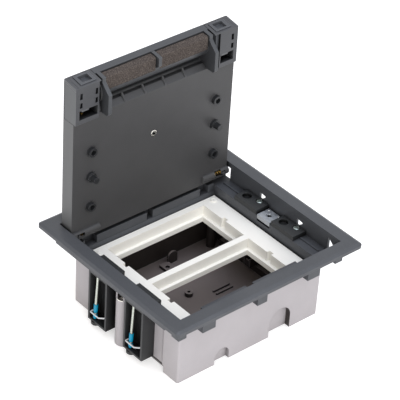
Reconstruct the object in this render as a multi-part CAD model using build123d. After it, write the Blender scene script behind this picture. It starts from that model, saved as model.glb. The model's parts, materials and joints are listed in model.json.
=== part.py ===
from build123d import *
import math
import os

# Floor socket box with an open hinged lid. Millimetres, +Z up.
# Origin: centre of the underside of the tub. +X runs along the latch side of the lid,
# +Y points to the hinge side. The lid is drawn open, standing upright.

# Frame that lies on the floor
frame_x = 204.0
frame_y = 186.5
flange_t = 4.5
flange_corner_r = 3.5
flange_bevel_run = 2.6
flange_bevel_drop = 1.4
opening_x = 176.8
opening_y = 159.6
skirt_wall = 2.1
top_height = 79.5

# Depths below the floor level (top of the flange)
ledge_depth = 18.4
ledge_t = 2.0
front_skirt_depth = 15.2
side_gap_depth = 17.5
sill_depth = 14.8
sill_t = 2.0
sill_reach = 0.8
pocket_depth = 24.2
pocket_wall = 1.5
well_depth = 30.2
seat_lip_t = 1.8
seat_lip_run = 2.4
strike_top_depth = 2.2
strike_bottom_depth = 14.8
strike_run = 1.8

# Well that holds the module carrier
well_x = 145.6
well_y = 128.8
well_wall = 1.4
hinge_panel_depth = 17.2
hinge_panel_run = 2.1
hinge_panel_slope = 4.5
hinge_gap_bottom_depth = 25.0
hinge_gap_run = 2.9
hinge_pocket_run = 9.0
hinge_pocket_wall = 1.2
hinge_gaps = [(-71.0, -58.0), (-3.2, 3.4), (57.2, 66.6)]

# Cable sills, and the pockets that take the fins and the rib of the cable flap
sill_inner_x = 3.9
sill_outer_x = 52.3
fin_pocket_x = (51.0, 64.8)
rib_pocket_x = 5.3
fin_slot_clearance = 0.8
tub_front_gap = 0.4
latch_zone_ledge_run = 6.0
corner_block_x = 8.3
corner_block_y = 9.0
side_gap_y = 9.0

# Openings in the side walls of the frame
claw_window = [(3.6, 8.2), (-3.4, 9.0), (-3.4, 10.6), (2.2, 15.0), (3.6, 15.0)]
hinge_window = [(62.3, 5.3), (66.3, 5.3), (70.4, 11.2), (70.4, 18.4), (62.3, 18.4)]
front_window = [(65.0, 4.6), (65.0, 18.4), (77.6, 18.4), (77.6, 15.4)]
rail_x = 81.2
rail_w = 1.5
rail_h = 1.1
rail_end_y = 62.0

# Tub
tub_x = 156.6
tub_y = 139.2
tub_wall = 1.8
tub_draft = 0.46
tub_corner_r = 1.6
tub_recess_run = 1.6
tub_recess_half = 51.0
tub_recess_r = 5.0
tub_step_height = 7.0
tub_step_run = 4.6
column_r = 7.0
column_bulge = 9.3
column_top_depth = 31.0
column_hole_r = 1.6
knockouts = [(34.3, 14.0, 12.0, 5.5), (-30.3, 6.5, 8.0, 4.0)]
carrier_post_x = 65.6
carrier_post_y = 57.4
carrier_post_r = 4.2
carrier_post_hole_r = 1.5
floor_boss_x = 3.5
floor_boss_y = 13.5
floor_boss_r = 3.6
floor_boss_hole_r = 1.5
floor_boss_h = 4.0
strap_x = 21.5
strap_y = 57.5
strap_disc_r = 5.4
strap_t = 1.6
strap_arm_x = 14.0
strap_arm_y = 9.0
floor_groove_x = (23.0, 42.0)
floor_groove_y = (3.9, -0.6)
floor_groove_w = 1.6
floor_groove_depth = 1.0

# Module carrier
carrier_depth = 28.0
carrier_gap = 1.3
module_x = 108.0
module_y = 54.0
carrier_bar = 6.0
carrier_wall = 1.6
module_wall_depth = 9.8
module_ledge_run = 3.0
module_ledge_t = 1.6
module_lower_depth = 3.4
key_w = 5.0
key_run = 3.0
key_wall = 1.5
carrier_screw_head_r = 2.9
carrier_screw_head_t = 1.3
carrier_screw_length = 12.0
boss_screw_head_r = 2.6
boss_screw_head_t = 1.4
boss_screw_length = 10.0

# Claw units at both sides
claw_y = 24.0
claw_block_half = 14.2
claw_block_overhang = 0.1
claw_block_gap = 0.4
claw_block_depth = 13.9
claw_body_half = 12.25
claw_body_inner_x = 77.0
claw_body_outer_x = 90.0
claw_body_wall = 2.0
claw_body_depth = 72.4
claw_neck_x = (79.4, 88.0)
claw_neck_half = 10.4
claw_neck_clearance = 0.25
claw_hole_x = 80.8
claw_hole_y = 6.8
claw_hole_r = 4.3
claw_hole_bottom = 3.4
clamp_x = 84.9
clamp_y = 5.2
clamp_lean = 2.9
clamp_rod_r = 1.45
clamp_clearance = 0.08
clamp_head_r = 3.0
clamp_head_t = 2.0
clamp_head_below = 0.3
clamp_end_gap = 0.4
clamp_pitch = 0.5
clamp_turns = 24
sleeve_gap = 2.1
sleeve_length = 8.7
sleeve_r = 2.3
tip_length = 4.6
tip_r = 1.9
foot_r = 4.4
foot_t = 3.2
foot_x = 86.6
wire_r = 0.65
wire_above_base = 8.3
wire_rise = 4.6

# Earth terminal
earth_half = 8.0
earth_t = 1.5
earth_outer_x = 86.6
earth_drop = 4.9
earth_screw_x = 80.0
earth_screw_r = 2.0
earth_head_r = 2.8
earth_head_t = 0.9
earth_head_sunk = 0.2
earth_head_gap = 0.15

# Lid, drawn open: lid_t runs along Y, its height along Z
lid_x = 172.6
lid_t = 13.6
lid_gap = 0.3
lid_top = 144.5
flap_height = 35.3
lid_edge_slope = 8.4
lid_corner_r = 3.0
lid_rim = 3.0
lid_recess = 8.0
lid_recess_bottom = 3.0
lid_recess_top = 103.6
lid_plate_t = 2.0
lid_plate_gap = 0.4
lid_floor_y = 5.8
boss_x = 67.5
boss_heights = (18.2, 74.0)
boss_r = 4.4
boss_hole_r = 2.6
boss_h = 4.0
pin_height = 48.6
pin_base_r = 4.6
pin_base_h = 3.0
pin_r = 3.0
pin_h = 6.0
lid_screw_height = 65.0
lid_screw_r = 2.0
lid_screw_head_r = 3.2
lid_screw_head_t = 1.4
shelf_rib_x = (-32.4, -10.8, 10.8, 32.4)
shelf_rib_w = 1.6

# Lid hinge pins
hinge_pin_r = 2.2
hinge_clearance = 0.06
hinge_pin_reach = 1.9
hinge_pin_inner_x = 72.5
hinge_travel = 4.0
barrel_r = 3.9
barrel_height = -7.0
barrel_inner_x = 57.6
barrel_bore_r = 2.6
barrel_window = (70.6, 78.0)
hinge_arm = (78.6, 82.0)
hinge_arm_half = 1.7
hinge_spring_r = 2.3
hinge_spring_wire = 0.5
hinge_spring_turns = 7
grip_r = 1.5
grip_proud = 0.2

# Latches at the free corners of the lid
latch_inner_x = 60.6
latch_outer_x = 86.2
latch_bottom = 106.8
latch_proud = 2.6
latch_skin = 1.2
latch_niche = {"left": 1.6, "right": 6.2}
latch_niche_depth = 7.0
latch_wall = 1.8
bolt_x = (63.9, 79.4)
bolt_y = (2.4, 13.9)
bolt_clearance = 0.2
bolt_proud = 0.8
bolt_bottom = 121.5
bolt_tail_t = 3.4
bolt_tail_drop = 5.2
bolt_tail_x = (70.8, 78.2)
bolt_pocket_x = (66.4, 76.6)
bolt_pocket_wall = 1.7
bolt_pocket_depth = 3.2
latch_slot_x = (64.9, 80.6)
latch_slot_w = 2.6
latch_slots = ((130.4, 136.2), (122.2, 127.2))
latch_slot_depth = 5.0
latch_window_x = (63.2, 82.4)
latch_window = (110.9, 119.6)
latch_spring_x = 74.0
latch_spring_r = 1.9
latch_spring_wire = 0.45
latch_spring_turns = 5

# Cable flap between the latches
flap_skin = 2.0
flap_pivot_in = 2.8
flap_pivot_rise = 3.1
flap_barrel_r = 2.4
flap_rod_r = 1.3
flap_rod_clearance = 0.06
flap_end_gap = 0.5
flap_bar_run = 6.8
flap_bar_t = 3.2
flap_web_t = 1.5
flap_shelf_drop = 13.1
flap_curve_r = 12.4
flap_curve_end = 82.0
flap_fin_t = 3.6
flap_fin_gap = 1.4
flap_fin_upper = [(15.3, 2.3), (15.3, 6.1), (18.6, 9.7), (24.0, 14.8)]
flap_fin_lower = [(24.0, 2.2), (22.2, 0.4), (14.4, 0.4), (9.6, 4.0), (5.2, 4.0)]
flap_rib_half = 1.6
flap_rib_proud = 17.7
foam_front = 14.5
foam_gap = 0.3

# Reach of a cut that runs past the whole part
past_part = 200.0

# Places that follow from the sizes above
half_open_x = opening_x / 2
half_open_y = opening_y / 2
skirt_x = half_open_x + skirt_wall
skirt_y = half_open_y + skirt_wall
ledge_bottom = ledge_depth + ledge_t
lid_outer_y = half_open_y - lid_gap
lid_inner_y = lid_outer_y - lid_t
hinge_depth = 6.5
hinge_y = lid_outer_y - hinge_depth
lid_bottom = -2 * hinge_depth
post_top_depth = well_depth
lid_window_height = lid_top - flap_height
flap_pivot_height = lid_window_height + flap_pivot_rise
flap_shelf_height = lid_top - flap_shelf_drop
clamp_length = claw_body_depth - claw_body_wall - claw_block_depth - clamp_head_below - clamp_end_gap
sleeve_start = clamp_length - tip_length - sleeve_gap - sleeve_length
column_axis_x = tub_x / 2 - column_r + column_bulge + 1.6
sides = {"left": -1, "right": 1}
clamp_names = {"rear_left": (-1, 1), "front_left": (-1, -1), "rear_right": (1, 1), "front_right": (1, -1)}
LOW = (Align.CENTER, Align.CENTER, Align.MIN)


def deep(depth):
    """Height of a point that lies a given depth below the floor level."""
    return top_height - depth


def high(height):
    """Height of a point of the open lid, counted from the floor level."""
    return top_height + height


def brick(x, y, z):
    """Box between two limits in each direction, given in any order."""
    size = [abs(pair[1] - pair[0]) for pair in (x, y, z)]
    middle = [(pair[0] + pair[1]) / 2 for pair in (x, y, z)]
    return Pos(*middle) * Box(*size)


def mirrored_x(x, side):
    return (side * x[0], side * x[1])


def rod(start, direction, radius, length):
    """Round bar from a start point along a direction."""
    return Plane(origin=start, z_dir=direction) * Cylinder(radius, length, align=LOW)


def side_profile(points, x0, x1):
    """Prism along X from an outline of (y, z) points."""
    plane = Plane(origin=(x0, 0, 0), x_dir=(0, 1, 0), z_dir=(1, 0, 0))
    return extrude(plane * make_face(Polyline(*points, close=True)), x1 - x0)


def front_profile(sketch, y0, y1):
    """Prism along +Y from a sketch drawn in X and Z."""
    plane = Plane(origin=(0, y0, 0), x_dir=(1, 0, 0), z_dir=(0, -1, 0))
    return extrude(plane * sketch, -(y1 - y0))


def lid_y(run):
    """Y of a point that lies a given run in from the outer face of the open lid."""
    return lid_outer_y - run


def rounded_plate(x, y, z0, z1, radius):
    return Pos(0, 0, z0) * extrude(RectangleRounded(x, y, radius), z1 - z0)


def coil(start, direction, radius, wire, length, turns):
    """Helical spring, its wire drawn with six flats."""
    helix = Helix(length / turns, length, radius - wire)
    section = Plane(origin=helix @ 0, z_dir=helix % 0) * RegularPolygon(wire, 6)
    return Plane(origin=start, z_dir=direction) * sweep(section, path=helix)


def save(name, shape):
    export_step(shape, os.path.join("parts", name + ".step"))


# Outer frame

def flange():
    plate = rounded_plate(frame_x, frame_y, deep(flange_t), deep(0), flange_corner_r)
    rim = plate.faces().sort_by(Axis.Z)[-1].edges()
    plate = chamfer(rim, flange_bevel_drop, flange_bevel_run)
    return plate


def skirt():
    """Walls under the flange: deep at the sides and the hinge, shallow at the front."""
    wall = brick((-skirt_x, skirt_x), (-skirt_y, skirt_y), (deep(ledge_bottom), deep(flange_t)))
    front = brick((-skirt_x + corner_block_x, skirt_x - corner_block_x),
                  (-skirt_y, -well_y / 2 - latch_zone_ledge_run),
                  (deep(ledge_bottom), deep(front_skirt_depth)))
    wall -= front
    for side in sides.values():
        gap_end = -skirt_y + corner_block_y
        wall -= brick((side * (half_open_x - 6), side * skirt_x), (gap_end, gap_end + side_gap_y),
                      (deep(ledge_bottom), deep(side_gap_depth)))
    return wall


def fin_pockets():
    """Boxes at the front that take the fins and the middle rib of the flap."""
    shape = None
    spans = [fin_pocket_x, (-fin_pocket_x[1], -fin_pocket_x[0]), (-rib_pocket_x, rib_pocket_x)]
    for span in spans:
        outer = brick(span, (-skirt_y, -tub_y / 2 - tub_front_gap - 0.6), (deep(pocket_depth), deep(sill_depth)))
        shape = outer if shape is None else shape + outer
    return shape


def pocket_hollows():
    hollow = None
    for span in [fin_pocket_x, (-fin_pocket_x[1], -fin_pocket_x[0]), (-rib_pocket_x, rib_pocket_x)]:
        inner = (span[0] + pocket_wall, span[1] - pocket_wall)
        cut = brick(inner, (-half_open_y, -tub_y / 2 - tub_front_gap - 0.6 - pocket_wall),
                    (deep(pocket_depth - pocket_wall), deep(0)))
        cut += brick(inner, (-half_open_y, -tub_y / 2 + 1.4), (deep(ledge_depth + 0.9), deep(0)))
        if span[0] * span[1] > 0:
            cut += brick(inner, (-tub_y / 2 + 1.4, -well_y / 2 + 1), (deep(well_depth - 4), deep(0)))
        else:
            cut += brick(inner, (-tub_y / 2 - 1.4, -well_y / 2 + 1), (deep(ledge_depth), deep(0)))
        hollow = cut if hollow is None else hollow + cut
    return hollow


def cable_sills():
    """Two raised shelves that the foam of the flap presses the cables on."""
    shape = None
    for side in sides.values():
        shelf = brick(mirrored_x((sill_inner_x, sill_outer_x), side), (-half_open_y - 1, sill_reach - well_y / 2),
                      (deep(sill_depth + sill_t), deep(sill_depth)))
        shelf += brick(mirrored_x((sill_inner_x, sill_outer_x), side), (-well_y / 2 - well_wall, -well_y / 2),
                       (deep(ledge_depth + 1), deep(sill_depth)))
        shape = shelf if shape is None else shape + shelf
    return shape


def well():
    """Upright wall round the module carrier, with a lip that the carrier rests on."""
    outer = brick((-well_x / 2 - well_wall, well_x / 2 + well_wall),
                  (-well_y / 2 - well_wall, well_y / 2 + hinge_panel_run + well_wall),
                  (deep(well_depth + seat_lip_t), deep(ledge_depth)))
    panel = brick((-well_x / 2, well_x / 2), (well_y / 2 + hinge_panel_run, well_y / 2 + hinge_panel_run + well_wall),
                  (deep(ledge_depth), deep(hinge_panel_depth)))
    inner_y = well_y / 2 + hinge_panel_run
    hollow = side_profile([(-well_y / 2, deep(0)), (inner_y, deep(0)),
                           (inner_y, deep(well_depth - hinge_panel_slope)),
                           (well_y / 2, deep(well_depth - 0.8)), (well_y / 2, deep(well_depth)),
                           (-well_y / 2, deep(well_depth))], -well_x / 2, well_x / 2)
    hollow += brick((-well_x / 2 + seat_lip_run, well_x / 2 - seat_lip_run),
                    (-well_y / 2 + seat_lip_run, well_y / 2 - seat_lip_run), (deep(well_depth + 5), deep(0)))
    return outer + panel, hollow


def claw_windows(side, place):
    """Opening in the side wall beside the head of a clamp screw."""
    middle = place * claw_y - side * clamp_y
    points = [(middle + side * y, deep(depth)) for y, depth in claw_window]
    x = sorted((side * (half_open_x - 1), side * (skirt_x + 1)))
    return side_profile(points, x[0], x[1])


def hinge_pocket(gap, grow):
    """Width of the pocket behind a gap of the hinge side, widened on both sides."""
    return (gap[0] - grow, gap[1] + grow)


def outer_frame():
    body = flange()
    body -= brick((-half_open_x, half_open_x), (-half_open_y, half_open_y), (deep(flange_t + 1), deep(-1)))
    walls = skirt() - brick((-half_open_x, half_open_x), (-half_open_y, half_open_y),
                            (deep(ledge_depth), deep(0)))
    well_solid, well_hollow = well()
    walls += well_solid
    body = body + walls + fin_pockets()
    body -= well_hollow
    body += cable_sills()
    body -= pocket_hollows()
    for side in sides.values():
        x = (side * (half_open_x - 0.5), side * (skirt_x + 1))
        for outline, sign in ((hinge_window, 1), (front_window, -1)):
            points = [(sign * y, deep(depth)) for y, depth in outline]
            body -= side_profile(points, min(x), max(x))
        body -= rod((side * (half_open_x - 1), hinge_y, deep(hinge_depth)), (side, 0, 0),
                    hinge_pin_r + hinge_clearance, skirt_wall + 2)
        body -= brick(mirrored_x((latch_inner_x - flap_end_gap, fin_pocket_x[1] + 0.1), side),
                      (-half_open_y, -tub_y / 2 - tub_front_gap), (deep(ledge_depth), deep(0)))
        for end in (-1, 1):
            body += brick((side * (rail_x - rail_w / 2), side * (rail_x + rail_w / 2)),
                          (end * (claw_y + claw_block_half + 0.4), end * rail_end_y),
                          (deep(ledge_depth + 0.5), deep(ledge_depth - rail_h)))
        body -= brick(mirrored_x((latch_inner_x + 2, bolt_x[1] + 1.2), side),
                      (-half_open_y - strike_run, -half_open_y + 1),
                      (deep(strike_bottom_depth), deep(strike_top_depth)))
    for side, place in clamp_names.values():
        body -= claw_windows(side, place)
        neck = (claw_neck_x[0] - claw_neck_clearance, claw_neck_x[1] + claw_neck_clearance)
        half = claw_neck_half + claw_neck_clearance
        body -= brick(mirrored_x(neck, side), (place * claw_y - half, place * claw_y + half),
                      (deep(ledge_bottom + 1), deep(ledge_depth - 0.5)))
    for gap in hinge_gaps:
        body += brick(hinge_pocket(gap, hinge_pocket_wall),
                      (well_y / 2 + hinge_gap_run, well_y / 2 + hinge_pocket_run + hinge_pocket_wall),
                      (deep(hinge_gap_bottom_depth + hinge_pocket_wall), deep(ledge_depth)))
        body -= brick(gap, (well_y / 2 - 0.5, well_y / 2 + hinge_pocket_run),
                      (deep(hinge_gap_bottom_depth), deep(0)))
    notch = earth_half + 0.3
    body -= brick((well_x / 2 - 1, well_x / 2 + earth_t + 0.3), (-notch, notch),
                  (deep(ledge_depth + earth_drop), deep(ledge_depth - 1)))
    body -= rod((earth_screw_x, 0, deep(ledge_bottom + 1)), (0, 0, 1), earth_screw_r + 0.1, ledge_t + 2)
    return body


# Tub

def tub_shell():
    height = deep(ledge_bottom)
    outer = extrude(RectangleRounded(tub_x, tub_y, tub_corner_r), height, taper=-tub_draft)
    inner = Pos(0, 0, tub_wall) * extrude(
        RectangleRounded(tub_x - 2 * tub_wall, tub_y - 2 * tub_wall, tub_corner_r), height, taper=-tub_draft)
    return outer, inner


def side_recess(side, grow):
    """Shallow hollow of the tub's side behind the claw housings."""
    inner_x = tub_x / 2 - tub_recess_run - grow
    sketch = Pos(inner_x + 10, 0) * RectangleRounded(20, 2 * (tub_recess_half - grow), tub_recess_r)
    return Rot(0, 0, 0 if side > 0 else 180) * extrude(sketch, deep(ledge_bottom) + 1)


def arch(x, z, radius, y0, y1):
    """Round-topped opening that is open at the bottom of the tub."""
    sketch = Pos(x, z) * Circle(radius) + Pos(x, (z - 2) / 2) * Rectangle(2 * radius, z + 2)
    return front_profile(sketch, y0, y1)


def floor_tub():
    outer, inner = tub_shell()
    body = outer
    solid_walls = None
    for side in sides.values():
        body -= side_recess(side, 0)
        wall = side_recess(side, tub_wall) & outer
        inner -= wall
        step = brick((side * (tub_x / 2 - tub_step_run), side * tub_x), (-tub_recess_half, tub_recess_half),
                     (-1, tub_step_height))
        cover = brick((side * (tub_x / 2 - tub_step_run - tub_wall), side * tub_x),
                      (-tub_recess_half - tub_wall, tub_recess_half + tub_wall), (0, tub_step_height + tub_wall))
        inner -= cover
        body -= step
    for x, z, radius, run in knockouts:
        inner -= arch(x, z, radius + tub_wall, -tub_y, run + tub_wall - tub_y / 2)
        body -= arch(x, z, radius, -tub_y, run - tub_y / 2)
    for sx in (-1, 1):
        for sy in (-1, 1):
            post = rod((sx * carrier_post_x, sy * carrier_post_y, 1), (0, 0, 1), carrier_post_r,
                       deep(post_top_depth) - 1)
            inner -= post
    body -= inner
    body &= brick((-past_part, past_part), (-past_part, past_part), (0, deep(ledge_bottom)))
    for gap in hinge_gaps:
        body -= brick(hinge_pocket(gap, hinge_pocket_wall + 0.4), (tub_y / 2 - tub_wall - 3, past_part),
                      (deep(hinge_gap_bottom_depth + hinge_pocket_wall + 0.4), past_part))
    for side in sides.values():
        column = rod((side * (tub_x / 2 - column_r + column_bulge - 0.2), 0, 0), (0, 0, 1), column_r,
                     deep(column_top_depth))
        column -= inner
        column -= brick((-tub_x / 2 + tub_wall + 3, tub_x / 2 - tub_wall - 3), (-past_part, past_part),
                        (-past_part, past_part))
        body += column
        body -= rod((side * column_axis_x, 0, deep(column_top_depth) - boss_screw_length - 2), (0, 0, 1),
                    column_hole_r, 2 * boss_screw_length)
    for sx in (-1, 1):
        for sy in (-1, 1):
            body -= rod((sx * carrier_post_x, sy * carrier_post_y, deep(post_top_depth) - 14), (0, 0, 1),
                        carrier_post_hole_r, 20)
    disc = rod((strap_x, strap_y, tub_wall + strap_disc_r + 2.0), (0, 1, 0), strap_disc_r, strap_t)
    disc += brick((strap_x - strap_disc_r, strap_x + strap_disc_r), (strap_y, strap_y + strap_t),
                  (tub_wall - 0.5, tub_wall + strap_disc_r + 1.0))
    arm = brick((strap_x - strap_arm_x, strap_x - strap_disc_r + 1), (strap_y - strap_arm_y, strap_y + strap_t),
                (tub_wall - 0.5, tub_wall + 2 * strap_t))
    arm -= rod((strap_x - strap_arm_x + 4.0, strap_y - strap_arm_y + 4.0, tub_wall + 0.6), (0, 0, 1), 2.2, 5)
    body += disc + arm
    for y in floor_groove_y:
        body -= brick(floor_groove_x, (y - floor_groove_w / 2, y + floor_groove_w / 2),
                      (tub_wall - floor_groove_depth, tub_wall + 1))
    return body




# Module carrier

def module_well(sign):
    """One opening for a wiring module: upper walls, a ledge and a narrower lower wall."""
    y = sign * (carrier_bar / 2 + module_y / 2)
    top = deep(carrier_depth)
    ledge = top - module_wall_depth
    low = ledge - module_ledge_t - module_lower_depth
    wall = 2 * carrier_wall
    solid = brick((-(module_x + wall) / 2, (module_x + wall) / 2),
                  (y - (module_y + wall) / 2, y + (module_y + wall) / 2), (ledge - module_ledge_t, top))
    lower_x = module_x / 2 - module_ledge_run + carrier_wall
    lower_y = module_y / 2 - module_ledge_run + carrier_wall
    solid += brick((-lower_x, lower_x), (y - lower_y, y + lower_y), (low, ledge))
    hollow = brick((-module_x / 2, module_x / 2), (y - module_y / 2, y + module_y / 2), (ledge, top + 5))
    inner_x = module_x / 2 - module_ledge_run
    inner_y = module_y / 2 - module_ledge_run
    hollow += brick((-inner_x, inner_x), (y - inner_y, y + inner_y), (low - 1, ledge + 1))
    for side in sides.values():
        key = (module_x / 2, module_x / 2 + key_run)
        solid += brick(mirrored_x((key[0], key[1] + key_wall), side),
                       (y - key_w / 2 - key_wall, y + key_w / 2 + key_wall), (ledge - module_ledge_t, top))
        hollow += brick(mirrored_x((key[0] - 1, key[1]), side), (y - key_w / 2, y + key_w / 2), (ledge, top + 5))
    return solid, hollow


def module_carrier():
    top = deep(carrier_depth)
    body = brick((-(well_x / 2 - carrier_gap), well_x / 2 - carrier_gap),
                 (-(well_y / 2 - carrier_gap), well_y / 2 - carrier_gap), (deep(well_depth), top))
    hollows = []
    for sign in (-1, 1):
        solid, hollow = module_well(sign)
        body += solid
        hollows.append(hollow)
    for hollow in hollows:
        body -= hollow
    for sx in (-1, 1):
        for sy in (-1, 1):
            place = (sx * carrier_post_x, sy * carrier_post_y)
            body -= rod((place[0], place[1], deep(well_depth) - 1), (0, 0, 1), carrier_post_hole_r + 0.2, 6)
    return body


def cross_recess(radius, depth):
    """Cross-shaped cut for the head of a screw, centred on the origin, cut downwards."""
    arm = Box(radius * 1.1, radius * 0.26, 2 * depth)
    return arm + Rot(0, 0, 90) * arm


def carrier_screws():
    screws = []
    for sx in (-1, 1):
        for sy in (-1, 1):
            head = Cylinder(carrier_screw_head_r, carrier_screw_head_t, align=LOW)
            head -= Pos(0, 0, carrier_screw_head_t) * cross_recess(carrier_screw_head_r, 0.7)
            shank = Pos(0, 0, -carrier_screw_length) * Cylinder(carrier_post_hole_r - 0.05, carrier_screw_length,
                                                                 align=LOW)
            screws.append(Pos(sx * carrier_post_x, sy * carrier_post_y, deep(carrier_depth)) * (head + shank))
    return Compound(screws)


def floor_boss():
    """Ring that stands on the floor of the tub and takes a screw."""
    start = (floor_boss_x, floor_boss_y, tub_wall)
    ring = rod(start, (0, 0, 1), floor_boss_r, floor_boss_h)
    return ring - rod((floor_boss_x, floor_boss_y, 0), (0, 0, 1), floor_boss_hole_r, tub_wall + floor_boss_h + 1)


def boss_screws():
    screws = []
    for side in sides.values():
        head = Cylinder(boss_screw_head_r, boss_screw_head_t, align=LOW)
        head -= Pos(0, 0, boss_screw_head_t) * cross_recess(boss_screw_head_r, 0.7)
        shank = Pos(0, 0, -boss_screw_length) * Cylinder(column_hole_r - 0.05, boss_screw_length, align=LOW)
        screws.append(Pos(side * column_axis_x, 0, deep(column_top_depth)) * (head + shank))
    return Compound(screws)


# Earth terminal

def earth_plate():
    top = deep(ledge_depth) + earth_t
    inner = well_x / 2 + 0.1
    body = brick((inner, earth_outer_x), (-earth_half, earth_half), (deep(ledge_depth), top))
    body += brick((inner, inner + earth_t), (-earth_half, earth_half), (top - earth_drop, top))
    edge = body.edges().filter_by(Axis.Y).sort_by(lambda e: (e.center().X, -e.center().Z))[0]
    body = fillet(edge, 1.0)
    body -= rod((earth_screw_x, 0, deep(ledge_bottom)), (0, 0, 1), earth_screw_r + 0.1, 10)
    seat = top - earth_head_sunk - earth_head_t
    return body - rod((earth_screw_x, 0, seat), (0, 0, 1), earth_head_r + earth_head_gap, 10)


def earth_screw():
    top = deep(ledge_depth) + earth_t - earth_head_sunk - earth_head_t
    head = Cylinder(earth_head_r, earth_head_t, align=LOW)
    head -= Pos(0, 0, earth_head_t) * cross_recess(earth_head_r, 0.6)
    shank = Pos(0, 0, -6.5) * Cylinder(earth_screw_r, 6.5, align=LOW)
    return Pos(earth_screw_x, 0, top) * (head + shank)


# Claw units, drawn for the right-hand side about their own middle and then turned into place

def clamp_axis():
    """Plane at the head of a clamp screw whose normal points up along the leaning screw."""
    lean = math.radians(clamp_lean)
    top = deep(claw_block_depth + clamp_head_below)
    return Plane(origin=(clamp_x, -clamp_y, top), x_dir=(math.cos(lean), 0, math.sin(lean)),
                 z_dir=(-math.sin(lean), 0, math.cos(lean)))


def on_clamp(shape, distance):
    """Place a shape at a distance below the top of the screw head, measured along the screw."""
    return clamp_axis() * Pos(0, 0, -distance) * shape


def claw_housing():
    outer_x = half_open_x - claw_block_gap
    body = brick((well_x / 2 + claw_block_overhang, outer_x), (-claw_block_half, claw_block_half),
                 (deep(ledge_depth), deep(claw_block_depth)))
    body += brick(claw_neck_x, (-claw_neck_half, claw_neck_half), (deep(ledge_bottom + 1), deep(ledge_depth - 1)))
    shell = brick((claw_body_inner_x, claw_body_outer_x), (-claw_body_half, claw_body_half),
                  (deep(claw_body_depth), deep(ledge_bottom)))
    shell -= brick((claw_body_inner_x + claw_body_wall, claw_body_outer_x + 1),
                   (-claw_body_half + claw_body_wall, claw_body_half - claw_body_wall),
                   (deep(claw_body_depth - claw_body_wall), deep(ledge_bottom + claw_body_wall)))
    body += shell
    body -= rod((claw_hole_x, claw_hole_y, deep(claw_block_depth + claw_hole_bottom)), (0, 0, 1), claw_hole_r, 10)
    body -= on_clamp(Cylinder(clamp_head_r + 0.3, past_part, align=LOW), clamp_head_t)
    body -= on_clamp(Cylinder(clamp_rod_r + clamp_clearance, 14, align=LOW), 13)
    return body


def clamp_screw():
    head = Pos(0, 0, -clamp_head_t) * Cylinder(clamp_head_r, clamp_head_t, align=LOW)
    head -= cross_recess(clamp_head_r, 1.0)
    shank = Pos(0, 0, -clamp_length) * Cylinder(clamp_rod_r, clamp_length - clamp_head_t + 0.1, align=LOW)
    tip = Pos(0, 0, -clamp_length) * Cylinder(tip_r, tip_length, align=LOW)
    return clamp_axis() * (head + shank + tip)


def clamp_sleeve():
    sleeve = Cylinder(sleeve_r, sleeve_length, align=LOW)
    sleeve = chamfer(sleeve.edges().filter_by(GeomType.CIRCLE), 0.5)
    sleeve -= Pos(0, 0, -1) * Cylinder(clamp_rod_r + clamp_clearance, sleeve_length + 2, align=LOW)
    return on_clamp(sleeve, sleeve_start + sleeve_length)


def clip_wire():
    """Bent wire across the open side of a claw housing, under the sleeve."""
    x = claw_body_outer_x - 0.3
    half = claw_body_half - claw_body_wall - wire_r
    z = deep(claw_body_depth - wire_above_base)
    path = FilletPolyline((x - 6, -half, z), (x, -half, z), (x, 1.8, z), (x, half, z + wire_rise),
                          (x - 6, half, z + wire_rise), radius=1.2)
    section = Plane(origin=path @ 0, z_dir=path % 0) * Circle(wire_r)
    return sweep(section, path=path)


def claw_foot():
    body = Cylinder(foot_r, foot_t, align=LOW)
    body = chamfer(body.edges().sort_by(Axis.Z)[0], 0.6)
    return Pos(foot_x, -clamp_y, deep(claw_body_depth) - foot_t) * body


def placed(shape, side, place):
    """Turn a piece of a claw unit to its side and move it to its place along the wall."""
    turn = 0 if side > 0 else 180
    return Pos(0, place * claw_y, 0) * Rot(0, 0, turn) * shape


# Lid

def slope_cut():
    """Space above the sloping free edge of the open lid."""
    fall = math.tan(math.radians(lid_edge_slope))
    reach = 3 * lid_t
    y0, y1 = lid_outer_y + reach, lid_outer_y - reach
    return side_profile([(y0, high(lid_top + reach * fall)), (y1, high(lid_top - reach * fall)),
                         (y1, high(lid_top + past_part)), (y0, high(lid_top + past_part))],
                        -past_part, past_part)


def free_corners(body, x, side):
    """Upper outer edge of the lid on one side, which runs along the sloping free edge."""
    return [edge for edge in body.edges()
            if abs(edge.center().X - side * x) < 0.01 and edge.center().Z > high(lid_top - 5)
            and edge.bounding_box().size.Y > lid_t / 2]


def lid_bores(side):
    """Hollows for a hinge pin, its arm and its spring."""
    cut = rod((side * (hinge_pin_inner_x - hinge_travel - 0.3), hinge_y, deep(hinge_depth)), (side, 0, 0),
              hinge_pin_r + hinge_clearance, 30)
    barrel_z = high(barrel_height)
    cut += rod((side * (barrel_inner_x + 2.2), lid_inner_y, barrel_z), (side, 0, 0), barrel_bore_r, 24.2)
    arm_x = (hinge_arm[0] - hinge_travel - 0.3, hinge_arm[1] + 0.3)
    cut += brick(mirrored_x(arm_x, side), (lid_inner_y - barrel_r - 1, hinge_y + 0.5),
                 (barrel_z - hinge_arm_half - 0.2, barrel_z + hinge_arm_half + 0.7))
    window_z = (barrel_z - 1.2, barrel_z + barrel_r) if side > 0 else (barrel_z - barrel_r - 1, barrel_z - 1.2)
    cut += brick(mirrored_x(barrel_window, side), (lid_inner_y - barrel_r - 1, lid_inner_y - 0.4), window_z)
    return cut


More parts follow.
